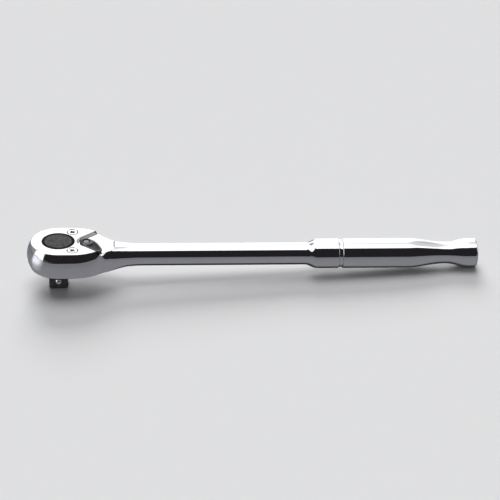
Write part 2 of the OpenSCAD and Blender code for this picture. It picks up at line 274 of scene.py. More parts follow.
def finish_piece(ob, body, slot, node, sharp, material=None, weighted=True):
    """Scale to metres, shade (sharp: edge angle in degrees) and tell the frame about the piece."""
    ob.data.transform(Matrix.Scale(MM, 4))
    ob.data.materials.clear()
    ob.data.materials.append(MATERIALS[material or slot])
    for face in ob.data.polygons:
        face.material_index = 0
    ob.data.shade_smooth()
    ob.data.set_sharp_from_angle(angle=math.radians(sharp))
    if weighted:
        mod = ob.modifiers.new("weighted", "WEIGHTED_NORMAL")
        mod.keep_sharp = True
        mod.weight = 60
    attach(ob, body)
    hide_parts(node)


# ---------------------------------------------------------------- shader helpers

class Graph:
    """Short ways to add shader nodes; all but node() return output sockets."""

    def __init__(self, tree):
        self.tree = tree
        tree.nodes.clear()

    def connect(self, node, inputs):
        """Link sockets and set plain values."""
        for key, value in inputs.items():
            socket = node.inputs[key]
            if isinstance(value, bpy.types.NodeSocket):
                self.tree.links.new(value, socket)
            elif socket.type == "RGBA":
                socket.default_value = (*value, 1.0)
            else:
                socket.default_value = value

    def node(self, kind, inputs=None, **settings):
        node = self.tree.nodes.new("ShaderNode" + kind)
        for key, value in settings.items():
            setattr(node, key, value)
        self.connect(node, inputs or {})
        return node

    def noise(self, place, scale, detail=4.0, rough=0.55, stretch=None):
        if stretch is not None:
            mapping = self.node("Mapping", {"Scale": stretch, "Vector": place})
            place = mapping.outputs["Vector"]
        return self.node("TexNoise", {"Scale": scale, "Detail": detail, "Roughness": rough,
                                      "Vector": place}).outputs["Fac"]

    def remap(self, value, between, to=(0.0, 1.0), **settings):
        return self.node("MapRange", {"From Min": between[0], "From Max": between[1],
                                      "To Min": to[0], "To Max": to[1],
                                      "Value": value}, **settings).outputs["Result"]

    def math(self, operation, *values):
        return self.node("Math", dict(enumerate(values)), operation=operation).outputs[0]

    def add(self, value, other):
        return self.math("ADD", value, other)

    def times(self, value, factor):
        return self.math("MULTIPLY", value, factor)

    def invert(self, value):
        return self.math("SUBTRACT", 1.0, value)

    def axes(self, vector):
        return self.node("SeparateXYZ", {0: vector}).outputs

    def mix(self, factor, low, high):
        return self.node("Mix", {0: factor, 6: low, 7: high}, data_type="RGBA").outputs[2]

    def shade(self, value, between, low, high):
        """A colour that runs from low to high as the value crosses a range."""
        return self.mix(self.remap(value, between), low, high)

    def bump(self, height, strength, depth, under=None):
        """depth in millimetres."""
        inputs = {"Strength": strength, "Distance": depth * MM, "Height": height}
        if under is not None:
            inputs["Normal"] = under
        return self.node("Bump", inputs).outputs["Normal"]

    def edges(self, place, between, breakup=0.7):
        """1 on convex edges, broken up by noise."""
        pointiness = self.node("NewGeometry").outputs["Pointiness"]
        edge = self.remap(pointiness, between)
        patches = self.noise(place, scale=1.7, detail=5.0)
        return self.times(edge, self.remap(patches, (0.35, 0.65), to=(1.0 - breakup, 1.0)))

    def shaded_hollows(self, place, reach, between):
        """1 down in gaps and recesses, for a painted shade there; reach in millimetres."""
        open_sky = self.node("AmbientOcclusion", {"Distance": reach * MM}, samples=16)
        gap = self.remap(open_sky.outputs["AO"], between, to=(1.0, 0.0))
        patches = self.noise(place, scale=1.3)
        return self.times(gap, self.remap(patches, (0.35, 0.65), to=(0.8, 1.0)))


def new_material(name):
    material = bpy.data.materials.new(name)
    material.use_nodes = True
    return material, Graph(material.node_tree)


def start_material(name):
    """A Principled material, and object coordinates in millimetres for its textures."""
    material, g = new_material(name)
    shader = g.node("BsdfPrincipled")
    g.node("OutputMaterial", {"Surface": shader.outputs["BSDF"]})
    coord = g.node("TexCoord").outputs["Object"]
    place = g.node("VectorMath", {0: coord, "Scale": 1000.0}, operation="SCALE").outputs["Vector"]
    return material, g, shader, place


# ---------------------------------------------------------------- materials

def plated(name, tint, dark, rough, scratch, hollow_shade, reach=0.9, gap=(0.5, 0.95)):
    """Bright plating: faint clouding, hairline marks, thinner edges and painted shade in the gaps.
    """
    material, g, shader, place = start_material(name)
    cloud = g.noise(place, scale=0.09, detail=3.0)
    base = g.shade(cloud, between=(0.35, 0.65), low=tint, high=dark)
    wear = g.edges(place, between=(0.56, 0.68), breakup=0.8)
    base = g.mix(g.times(wear, factor=0.25), base, high=(0.62, 0.61, 0.6))
    # painted shade: the plating is darkened down in gaps and recesses, found by ambient occlusion
    painted_hollow_shade = g.times(g.shaded_hollows(place, reach, gap), hollow_shade)
    base = g.mix(painted_hollow_shade, base, high=(0.03, 0.028, 0.027))
    fine = g.noise(place, scale=0.9, detail=7.0, rough=0.62)
    hair = g.noise(place, scale=2.2, detail=3.0, rough=0.5, stretch=(0.05, 1.6, 1.6))
    roughness = g.add(
        g.remap(fine, between=(0.3, 0.7), to=(rough * 0.75, rough * 1.35)),
        g.remap(hair, between=(0.62, 0.75), to=(0.0, 0.05 * scratch)))
    waves = g.bump(cloud, strength=0.02, depth=0.05)
    g.connect(shader, {
        "Base Color": base, "Metallic": 1.0, "Roughness": roughness,
        "Normal": g.bump(hair, strength=0.05 * scratch, depth=0.004, under=waves)})
    return material


def blackened_drive(name):
    """Black oxide: deep matt black on the boss, darker there as painted shade; greyer on the square
    as painted light where it lies in the head's shadow, and handled on its edges.
    """
    material, g, shader, place = start_material(name)
    mottle = g.noise(place, scale=0.55, detail=6.0, rough=0.6)
    fine = g.noise(place, scale=2.2, detail=6.0, rough=0.7)
    # the boss is drawn darker than its oxide as a painted shade, the square lighter as painted
    # light in the head's shadow
    boss = g.shade(mottle, between=(0.35, 0.68),
                   low=(0.005, 0.005, 0.006), high=(0.012, 0.012, 0.013))
    square = g.shade(mottle, between=(0.35, 0.68),
                     low=(0.05, 0.05, 0.052), high=(0.105, 0.104, 0.105))
    up = g.remap(g.axes(place)[2], between=(HEAD_BOTTOM - 0.6, HEAD_BOTTOM + 0.4))
    base = g.mix(up, square, boss)
    lightened = g.edges(place, between=(0.56, 0.7))
    lightened = g.times(lightened, g.remap(up, between=(0.0, 1.0), to=(0.5, 0.12)))
    g.connect(shader, {
        "Base Color": g.mix(lightened, base, high=(0.24, 0.24, 0.25)),
        "Metallic": g.remap(up, between=(0.0, 1.0), to=(0.35, 0.0)),
        "Specular IOR Level": g.remap(up, between=(0.0, 1.0), to=(0.5, 0.03)),
        "Roughness": g.remap(fine, between=(0.3, 0.7), to=(0.34, 0.5)),
        "Normal": g.bump(fine, strength=0.16, depth=0.02)})
    return material


def lever_finish(name):
    """Black oxide, with a painted highlight of lighter, more metallic grey on the rim round the
    dish and the flat round the pin.
    """
    material, g, shader, place = start_material(name)
    mottle = g.noise(place, scale=0.6, detail=6.0, rough=0.6)
    fine = g.noise(place, scale=1.7, detail=6.0, rough=0.7)
    base = g.shade(mottle, between=(0.35, 0.68),
                   low=(0.018, 0.018, 0.02), high=(0.036, 0.036, 0.039))
    # height above a plane that falls with the upper face towards the tip
    cos, sin = math.cos(LEVER_ANGLE), math.sin(LEVER_ANGLE)
    tilted = g.node("VectorMath", {0: place, 1: (LEVER_FALL * cos, LEVER_FALL * sin, 1.0)},
                    operation="DOT_PRODUCT").outputs["Value"]
    level = NOTCH_Z + LEVER_TOP + LEVER_FALL * (PIVOT_X * cos + FALL_START)
    height = g.math("SUBTRACT", tilted, level)
    # painted highlight: the highest faces are lighter and more metallic, as where they catch the
    # light
    lightened = g.times(g.remap(height, between=(-0.16, -0.03)),
                  g.remap(fine, between=(0.3, 0.7), to=(0.75, 1.0)))
    base = g.mix(lightened, base, high=(0.15, 0.15, 0.152))
    edge = g.edges(place, between=(0.56, 0.68))
    g.connect(shader, {
        "Base Color": g.mix(g.times(edge, factor=0.35), base, high=(0.2, 0.2, 0.2)),
        "Metallic": g.remap(lightened, between=(0.0, 1.0), to=(0.1, 0.8)),
        "Specular IOR Level": 0.25,
        "Roughness": g.remap(fine, between=(0.3, 0.7), to=(0.34, 0.52)),
        "Normal": g.bump(fine, strength=0.16, depth=0.02)})
    return material


def turned_disc(name):
    """Dark grey blasted disc with a fine speckle, faint turned rings and a painted shade at its
    rim.
    """
    material, g, shader, place = start_material(name)
    speck = g.noise(place, scale=1.5, detail=5.0, rough=0.75)
    broad = g.noise(place, scale=0.42)
    both = g.add(g.times(speck, factor=0.5), g.times(broad, factor=0.5))
    base = g.shade(both, between=(0.4, 0.6), low=(0.012, 0.012, 0.013), high=(0.07, 0.071, 0.073))
    # painted shade, with some dirt, where the disc meets the boss, by distance from the Z axis
    flat = g.node("VectorMath", {0: place, 1: (1.0, 1.0, 0.0)}, operation="MULTIPLY")
    far = g.node("VectorMath", {0: flat.outputs["Vector"]}, operation="LENGTH")
    rim = g.remap(far.outputs["Value"], between=(8.7, 9.3))
    wave = g.node("TexWave", {"Scale": 1.1, "Distortion": 0.6, "Vector": place},
                  wave_type="RINGS", rings_direction="Z")
    rings = g.bump(wave.outputs["Fac"], strength=0.12, depth=0.02)
    g.connect(shader, {
        "Base Color": g.mix(rim, base, high=(0.006, 0.006, 0.006)),
        "Metallic": g.remap(rim, between=(0.0, 1.0), to=(0.3, 0.0)),
        "Specular IOR Level": g.remap(rim, between=(0.0, 1.0), to=(0.4, 0.05)),
        "Roughness": g.remap(speck, between=(0.3, 0.7), to=(0.42, 0.66)),
        "Normal": g.bump(speck, strength=0.4, depth=0.04, under=rings)})
    return material


def rubber(name):
    material, g, shader, place = start_material(name)
    fine = g.noise(place, scale=5.0, detail=5.0, rough=0.7)
    g.connect(shader, {
        "Base Color": g.shade(fine, between=(0.3, 0.7),
                              low=(0.012, 0.012, 0.013), high=(0.03, 0.03, 0.031)),
        "Roughness": g.remap(fine, between=(0.3, 0.7), to=(0.55, 0.75)),
        "Normal": g.bump(fine, strength=0.2, depth=0.02)})
    return material


def worked(name, tint, dark, rough, stretch=(1.0, 1.0, 1.0)):
    """Plain machined metal: grinding lines and a little variation."""
    material, g, shader, place = start_material(name)
    cloud = g.noise(place, scale=0.4, detail=5.0)
    lines = g.noise(place, scale=6.0, detail=4.0, rough=0.6, stretch=stretch)
    g.connect(shader, {
        "Base Color": g.shade(cloud, between=(0.35, 0.65), low=tint, high=dark),
        "Metallic": 1.0,
        "Roughness": g.remap(lines, between=(0.3, 0.7), to=(rough * 0.75, rough * 1.3)),
        "Normal": g.bump(lines, strength=0.12, depth=0.01)})
    return material


MATERIALS = {
    "chrome": plated("plated_handle", tint=(0.93, 0.935, 0.94), dark=(0.9, 0.905, 0.915),
                     rough=0.045, scratch=1.0, hollow_shade=0.55),
    "cover_chrome": plated("plated_cover", tint=(0.94, 0.94, 0.94), dark=(0.905, 0.905, 0.91),
                           rough=0.06, scratch=0.7, hollow_shade=0.75),
    "screw_steel": plated("plated_screws", tint=(0.88, 0.88, 0.88), dark=(0.8, 0.8, 0.81),
                          rough=0.1, scratch=1.4, hollow_shade=1.0, reach=1.4, gap=(0.66, 0.99)),
    "black_oxide": blackened_drive("oxide_drive"),
    "lever_black": lever_finish("oxide_lever"),
    "pin_steel": worked("ground_pin", tint=(0.31, 0.31, 0.32), dark=(0.2, 0.2, 0.21),
                        rough=0.3, stretch=(1.0, 1.0, 3.0)),
    "disc_grey": turned_disc("blasted_disc"),
    "bronze": worked("sintered_bronze", tint=(0.55, 0.36, 0.18), dark=(0.42, 0.27, 0.14),
                     rough=0.38),
    "spring_steel": worked("drawn_wire", tint=(0.5, 0.5, 0.52), dark=(0.38, 0.38, 0.4),
                           rough=0.24, stretch=(0.4, 2.0, 2.0)),
    "seal_rubber": rubber("black_rubber"),
    "polished_steel": worked("ground_steel", tint=(0.86, 0.86, 0.87), dark=(0.76, 0.76, 0.78),
                             rough=0.09, stretch=(1.0, 1.0, 3.0)),
    "tool_steel": worked("hardened_steel", tint=(0.42, 0.42, 0.44), dark=(0.3, 0.3, 0.33),
                         rough=0.27, stretch=(1.0, 1.0, 4.0)),
}


# ---------------------------------------------------------------- forged handle

CROWN_STEPS, SIDE_STEPS, KEEL_STEPS = 12, 18, 10
CORNER = CROWN_STEPS                # index of the corner between crown and side
SIDE_START = CORNER + 2
ROUND_CORNER = 50.0                 # the corner's angle on the round neck, degrees
EDGE_INSET = 0.012                  # the notch floor's edge is pulled in a little

SHOULDER = [
    # x, half width, radius of the round above the axis, depth and squareness below it
    (16.0, 19.8, 17.0, AXIS_Z - HEAD_BOTTOM, 6.0),
    (23.5, 17.25, 15.5, AXIS_Z - HEAD_BOTTOM, 6.0),
    (28.0, 14.9, 12.6, AXIS_Z - HEAD_BOTTOM - 0.02, 6.0),
    (32.5, 12.3, 9.7, AXIS_Z - HEAD_BOTTOM - 0.05, 6.0),
    (36.5, 10.3, 8.7, AXIS_Z - HEAD_BOTTOM - 0.08, 5.0),
    (41.0, 9.1, 8.2, 7.85, 3.0),
    (46.5, 8.2, 7.8, 7.66, 2.2),
    (54.0, 7.6, 7.56, 7.54, 2.02),
    (60.0, NECK_R, NECK_R, NECK_R, 2.0),
    (70.0, NECK_R, NECK_R, NECK_R, 2.0),
]
SHOULDER_CURVES = [monotone_curve([row[0] for row in SHOULDER], [row[k] for row in SHOULDER])
                   for k in range(1, 5)]

# x of the sections through the straight sides, and through the step at the end of the notch
SIDE_X = [0.0, 2.5, 5.0, 7.5, 9.4, 10.0]
STEP_SECTION_X = [36.66, 36.72, 36.8, 36.88, 36.96, 37.04, 37.12, 37.2, 37.28, 37.36,
                  37.44, 37.52, 37.6, 37.68, 37.76, 38.0]

COLLAR_START, COLLAR_END = 165.0, 173.6
GROOVE_X, GROOVE_DEPTH = 189.5, 0.75
GROOVE_SIDE = [
    # x from the middle of the groove, depth of cut
    (-2.1, 0.0), (-1.66, 0.0), (-1.54, 0.04), (-1.43, 0.15), (-1.38, 0.32), (-1.34, 0.52),
    (-1.22, 0.68), (-1.0, GROOVE_DEPTH),
]
WAIST_START, WAIST_X, WAIST_R = 235.0, 261.0, 7.4
FLARE_X, FLARE_R = 276.5, 9.83
END_ROUND = 1.45                    # how far the round at the grip's end comes in


def head_y(x, z):
    """Half width of the barrel-sided head at x and height z."""
    width = HEAD_HALF + BULGE - BARREL_R + math.sqrt(BARREL_R ** 2 - (z - HEAD_MID) ** 2)
    if x <= SIDE_LENGTH:
        return width
    r = REAR_R + (width - HEAD_HALF)
    return math.sqrt(r * r - (x - SIDE_LENGTH) ** 2) - REAR_Y


def section_angles(corner):
    """Angles in degrees from the crown at 90, past the corner, down to the keel at -90."""
    side = corner - 4.5
    angles = [90 - (90 - corner) * i / CROWN_STEPS for i in range(CROWN_STEPS + 1)]
    angles.append(corner - 1.6)
    angles += [side + (-45 - side) * i / SIDE_STEPS for i in range(SIDE_STEPS + 1)]
    return angles + [-45 - 4.5 * i for i in range(1, KEEL_STEPS + 1)]


def shoulder_point(half, crown, depth, power, corner, angle):
    """[y, z] on a round above the axis, with its middle drawn in, or a squarer curve below."""
    cos = max(math.cos(math.radians(angle)), 0.0)
    sin = math.sin(math.radians(angle))
    if sin >= 0:
        spread = 1.0 if angle <= corner else 1.0 - ((angle - corner) / (90.0 - corner)) ** 2
        return [(half - crown) * spread + crown * cos, AXIS_Z + crown * sin]
    return [half * cos ** (2 / power), AXIS_Z - depth * abs(sin) ** (2 / power)]


def head_section(x, shoulder):
    """The head's barrel-sided section, with its points spaced like the shoulder's."""
    top_y = head_y(x, NOTCH_Z)
    head = [[top_y * y / shoulder[CORNER][0], NOTCH_Z] for y, z in shoulder[:CORNER]]
    head.append([top_y - EDGE_INSET, NOTCH_Z])
    z_under = NOTCH_Z - 0.02
    head.append([head_y(x, z_under), z_under])
    # barrel side
    round_r = 1.0
    z_low = HEAD_BOTTOM + round_r * 0.86
    z_start = shoulder[SIDE_START][1]
    z_end = shoulder[SIDE_START + SIDE_STEPS][1]
    for i in range(SIDE_STEPS + 1):
        share = (shoulder[SIDE_START + i][1] - z_start) / (z_end - z_start)
        z = z_start + (z_low - z_start) * share
        head.append([head_y(x, z), z])
    # round into the underside, then the flat underside
    slope = math.asin((HEAD_MID - z_low) / BARREL_R)
    centre_y, centre_z = head_y(x, z_low) - round_r * math.cos(slope), HEAD_BOTTOM + round_r
    for i in range(1, 7):
        a = slope + (math.pi / 2 - slope) * i / 6
        head.append([centre_y + round_r * math.cos(a), centre_z - round_r * math.sin(a)])
    flat_y, flat_z = head[-1]
    for i in range(7, KEEL_STEPS + 1):
        head.append([flat_y * (KEEL_STEPS - i) / 4, flat_z])
    return head


def half_section(x):
    """The +Y half of the section at x, from the crown down to the keel."""
    half, crown, depth, power = [curve(x) for curve in SHOULDER_CURVES]
    crown = min(crown, half)
    rise = NOTCH_Z - AXIS_Z
    corner = math.degrees(math.asin(rise / crown)) if crown > rise + 0.02 else 60.0
    neck = smooth((x - 38.0) / 9.0)
    corner = corner * (1 - neck) + ROUND_CORNER * neck
    points = [shoulder_point(half, crown, depth, power, corner, angle)
              for angle in section_angles(corner)]
    # the crown is flattened to the notch floor up to the step
    step = smooth(x - (STEP_X - 0.5))
    for point in points[:CORNER + 1]:
        point[1] = NOTCH_Z + (point[1] - NOTCH_Z) * step
    inset = EDGE_INSET * (1 - step)
    points[CORNER][0] -= inset
    points[CORNER + 1][0] -= inset * 0.25
    points[CORNER + 1][1] -= inset * 0.2
    points[0][0] = points[-1][0] = 0.0
    # the head's own barrel side replaces the rounded one towards the nose
    barrel = 1.0 - smooth((x - 25.2) / 6.6)
    if barrel > 0:
        points = [[p[k] * (1 - barrel) + h[k] * barrel for k in (0, 1)]
                  for p, h in zip(points, head_section(x, points))]
    return [(y, max(z, HEAD_BOTTOM)) for y, z in points]


def round_section(r):
    """A round half section with as many points as the others."""
    points = [[r * math.cos(a), AXIS_Z + r * math.sin(a)]
              for a in radians(*section_angles(ROUND_CORNER))]
    points[0][0] = points[-1][0] = 0.0
    return points


def grip_stations():
    """(x, radius) along the round neck and grip, every edge with its own small round."""
    stations = [(x, NECK_R) for x in (62.0, 80.0, 110.0, 140.0, 158.0, COLLAR_START)]
    n = 18
    for i in range(1, n + 1):
        t = i / n
        stations.append((COLLAR_START + (COLLAR_END - COLLAR_START - 0.28) * t,
                         NECK_R + (GRIP_R - 0.06 - NECK_R) * ease(t) ** 1.15))
    stations += [(COLLAR_END - 0.12, GRIP_R - 0.03), (COLLAR_END + 0.06, GRIP_R),
                 (COLLAR_END + 1.2, GRIP_R), (182.0, GRIP_R)]
    stations += [(GROOVE_X + dx, GRIP_R - depth) for dx, depth in GROOVE_SIDE]
    stations.append((GROOVE_X, GRIP_R - GROOVE_DEPTH))
    stations += [(GROOVE_X - dx, GRIP_R - depth) for dx, depth in reversed(GROOVE_SIDE)]
    stations += [(x, GRIP_R) for x in (197.0, 210.0, 225.0, WAIST_START)]
    # down to the waist and out again to the flared end
    for start, end, r_start, r_end, n in (
            (WAIST_START, WAIST_X - 0.6, GRIP_R, WAIST_R, 30),
            (WAIST_X + 0.6, FLARE_X, WAIST_R, FLARE_R, 22)):
        for i in range(1, n + 1):
            t = i / n
            stations.append((start + (end - start) * t, r_start + (r_end - r_start) * ease(t)))
    stations += [(x, FLARE_R) for x in (FLARE_X + 1.2, GRIP_END_X - 3.6, GRIP_END_X - 2.9)]
    for a in quarter_turn(10):
        stations.append((GRIP_END_X - 2.9 + 1.7 * math.sin(a),
                         FLARE_R - END_ROUND * (1 - math.cos(a))))
    # shallow domed end
    dome_r = FLARE_R - END_ROUND - 0.25
    stations.append((GRIP_END_X - 1.2 + 0.04, dome_r))
    n = 9
    for i in range(1, n + 1):
        share = 1 - i / n
        stations.append((GRIP_END_X - 1.14 * share * share, dome_r * share))
    return stations


def pawl_chamber():
    """Outline of the chamber behind the gear: a round kept inside a wedge."""
    centre_x, r, spread = 12.6, 10.8, 1.28
    wedge_x, wedge_slope = 0.5, 37.2 / 39.5
    outline = []
    for i in range(97):
        a = -math.pi / 2 * spread + math.pi * spread * i / 96
        x, y = centre_x + r * math.cos(a), r * math.sin(a)
        if abs(y) <= (x - wedge_x) * wedge_slope:
            outline.append((x, y))
    return outline + [(wedge_x, 0.0)]


def forged_handle():
    xs = (SIDE_X + steps(10.7, 36.6, 0.65) + STEP_SECTION_X + steps(38.6, 60.5, 0.7))
    stations = [(x, half_section(x)) for x in xs]
    stations += [(x, round_section(r)) for x, r in grip_stations()]
    rows = wrap_nose(stations, 64)
    # never outside the CAD head, whose curves are cut into short flats
    verts = [(max(x, BODY_LO.x), min(max(y, BODY_LO.y), BODY_HI.y), z)
             for row in rows for x, y, z in row]
    ob = new_object("forged_handle", verts, grid_faces(len(rows), len(rows[0])))
    # lower bearing bore and round gear chamber
    bore(ob, [(0, 5), (9.62, 5), (9.62, HEAD_BOTTOM - 0.02), (9.5, HEAD_BOTTOM + 0.1),
              (9.25, HEAD_BOTTOM + 0.34), (9.25, CHAMBER_Z), (12.2, CHAMBER_Z), (12.2, 45),
              (0, 45)], 128)
    chamber = pawl_chamber()
    cut(ob, prism("cutter", [(CHAMBER_Z + 0.001, chamber), (WEB_Z, chamber)]))
    # lever pin: hole through the web, and a blind hole in the chamber floor
    pivot = Matrix.Translation((PIVOT_X, 0, 0))
    bore(ob, [(0, WEB_Z - 1), (3.05, WEB_Z - 1), (3.05, NOTCH_Z - 0.15), (3.2, NOTCH_Z + 0.01),
              (3.2, 45), (0, 45)], 64, pivot)
    bore(ob, [(0, CHAMBER_Z - 2.3), (2.55, CHAMBER_Z - 2.3), (2.55, CHAMBER_Z + 1),
              (0, CHAMBER_Z + 1)], 48, pivot)
    threads = thread(NOTCH_Z - 5.9, [(2.0, 0.1), (2.16, 0.35), (2.0, 0.6)])
    for x, y in SCREW_XY:
        bore(ob, [(0, NOTCH_Z - 6.8), (2.0, NOTCH_Z - 5.9)] + threads
             + [(2.3, NOTCH_Z + 0.01), (2.3, 45), (0, 45)], 32, Matrix.Translation((x, y, 0)))
    clean(ob)
    finish_piece(ob, "handle", "chrome", "ratchet_body", sharp=26.0)


# ---------------------------------------------------------------- cover plate

PLATE_RIM = 0.38                    # height of the round on the upper edge
NOTCH_R = 6.4
NOTCH_SLOPE = 0.87                  # y over x of the notch's straight sides
NOTCH_RUN = 34.0                    # how far the outline runs on in x, past the plate


def notch_outline(grow):
    """Outline of the lever's notch, open towards the neck."""
    r = NOTCH_R + grow
    lean = math.atan(NOTCH_SLOPE)
    start, end = math.pi / 2 + lean, 3 * math.pi / 2 - lean
    arc = []
    n = 40
    for i in range(n + 1):
        a = start + (end - start) * i / n
        arc.append((PIVOT_X + r * math.cos(a), r * math.sin(a)))
    (x0, y0), (x1, y1) = arc[0], arc[-1]
    drop = NOTCH_RUN * NOTCH_SLOPE
    return [(x0 + NOTCH_RUN, y0 + drop)] + arc + [(x1 + NOTCH_RUN, y1 - drop)]


def plate_section(x):
    """The +Y half of the plate's section, from the middle of its underside to that of its top."""
    under_y = head_y(x, NOTCH_Z)
    points = [(under_y * i / 6, NOTCH_Z) for i in range(6)]
    points.append((under_y - 0.012, NOTCH_Z))
    rim_z = HEAD_TOP - PLATE_RIM
    heights = [NOTCH_Z + 0.015]
    heights += [NOTCH_Z + (rim_z - NOTCH_Z) * share for share in (0.25, 0.5, 0.75)]
    points += [(head_y(x, z), z) for z in heights]
    slope = math.asin((rim_z - HEAD_MID) / BARREL_R)
    r = PLATE_RIM / (1 - math.sin(slope))
    centre_y, centre_z = head_y(x, rim_z) - r * math.cos(slope), HEAD_TOP - r
    for i in range(7):
        a = slope + (math.pi / 2 - slope) * i / 6
        points.append((centre_y + r * math.cos(a), centre_z + r * math.sin(a)))
    edge_y = points[-1][0]
    return points + [(edge_y * share, HEAD_TOP) for share in (0.85, 0.6, 0.3, 0.0)]


def cover_plate():
    xs = [0.0, 3.0, 6.0, 9.0, 10.0] + steps(10.8, 31.0, 0.7)
    rows = wrap_nose([(x, plate_section(x)) for x in xs], 72)
    columns = len(rows[0])
    faces = grid_faces(len(rows), columns)
    last = (len(rows) - 1) * columns
    # one flat face closes the end towards the neck
    faces.append(tuple(list(range(columns)) + [last + i for i in reversed(range(1, columns - 1))]))
    ob = new_object("cover_shell", [p for row in rows for p in row], faces)
    # lever notch with a broken upper edge: (height, growth of the outline)
    notch = [(NOTCH_Z - 2, -0.1), (NOTCH_Z + 0.05, -0.1), (HEAD_TOP - 0.2, 0.13),
             (HEAD_TOP - 0.1, 0.16), (HEAD_TOP - 0.03, 0.22), (HEAD_TOP, 0.32),
             (HEAD_TOP + 2, 0.32)]
    cut(ob, prism("cutter", [(z, notch_outline(grow)) for z, grow in notch]))
    r = BOSS_R + 0.08
    bore(ob, [(0, NOTCH_Z - 2), (r, NOTCH_Z - 2), (r, HEAD_TOP - 0.3), (r + 0.05, HEAD_TOP - 0.2),
              (r + 0.34, HEAD_TOP), (r + 0.34, HEAD_TOP + 3), (0, HEAD_TOP + 3)], 128)
    for x, y in SCREW_XY:
        bore(ob, [(0, NOTCH_Z - 2), (2.15, NOTCH_Z - 2), (2.15, HEAD_TOP - 1.85),
                  (3.86, HEAD_TOP - 0.16), (4.0, HEAD_TOP), (4.0, HEAD_TOP + 3),
                  (0, HEAD_TOP + 3)], 64, Matrix.Translation((x, y, 0)))
    clean(ob)
    finish_piece(ob, "handle", "cover_chrome", "cover_plate", sharp=26.0)


# ---------------------------------------------------------------- screws

SCREW_TURNS = (-38, 38)             # how far each cross recess is turned, degrees


def cross_outline(arm, half, core):
    """arm: reach of the arms, half: their half width, core: the inner corners."""
    points = []
    for quarter in range(4):
        a = math.pi / 2 * quarter
        for u, v in ((arm, -half), (arm, half), (core, core)):
            points.append((u * math.cos(a) - v * math.sin(a), u * math.sin(a) + v * math.cos(a)))
    return points


def cover_screws():
    profile = [(0, NOTCH_Z - 6.0), (1.5, NOTCH_Z - 6.0), (1.78, NOTCH_Z - 5.7)]
    profile += thread(NOTCH_Z - 5.7, [(1.78, 0.1), (1.95, 0.3), (1.95, 0.36), (1.78, 0.56)])
    profile += [(1.9, NOTCH_Z + 0.3), (1.95, HEAD_TOP - 1.78), (3.28, HEAD_TOP - 0.42),
                (3.34, HEAD_TOP - 0.34), (3.34, HEAD_TOP - 0.2), (3.22, HEAD_TOP - 0.08),
                (2.5, HEAD_TOP - 0.045), (1.0, HEAD_TOP - 0.04), (0, HEAD_TOP - 0.04)]
    verts, faces = [], []
    for (x, y), turn in zip(SCREW_XY, SCREW_TURNS):
        place = Matrix.Translation((x, y, 0))
        screw = lathe("screw", profile, 64, place)
        cross = prism("cutter", [(HEAD_TOP - 1.5, cross_outline(0.9, 0.3, 0.5)),
                                 (HEAD_TOP - 0.35, cross_outline(1.7, 0.46, 0.8)),
                                 (HEAD_TOP + 0.6, cross_outline(2.05, 0.6, 1.0))])
        cross.data.transform(place @ Matrix.Rotation(math.radians(turn), 4, "Z"))
        cut(screw, cross)
        base = len(verts)
        verts += [tuple(v.co) for v in screw.data.vertices]
        faces += [tuple(base + i for i in face.vertices) for face in screw.data.polygons]
        bpy.data.objects.remove(screw)
    ob = new_object("countersunk_screws", verts, faces, 1e-4)
    finish_piece(ob, "handle", "screw_steel", "cover_screws", sharp=24.0)


# ---------------------------------------------------------------- drive member

SQUARE_HALF = 6.35
TURNED_R = 8.45                     # radius that rounds off the corners of the square
JOURNAL_R = 9.2
TEETH = 36
TOOTH_TIP, TOOTH_ROOT = 12.0, 11.05
DRIVE_SEGMENTS = TEETH * 10         # one for each degree


def square_radius(angle, turned, inset=0.0):
    flat = (SQUARE_HALF - inset) / max(abs(math.cos(angle)), abs(math.sin(angle)))
    power = 26.0
    return (flat ** -power + turned ** -power) ** (-1 / power)


def tooth_radius(angle, chamfer):
    """Trapezoid teeth; the chamfer shortens their tips."""
    turn = (angle / (2 * math.pi) * TEETH) % 1.0
    off = min(turn, 1 - turn) * 10  # degrees from the tooth's middle
    tip = TOOTH_TIP - chamfer
    tip_end, root_start = 0.45, 4.4
    if off <= tip_end:
        return tip
    if off >= root_start:
        return TOOTH_ROOT
    return tip + (TOOTH_ROOT - tip) * ((off - tip_end) / (root_start - tip_end))


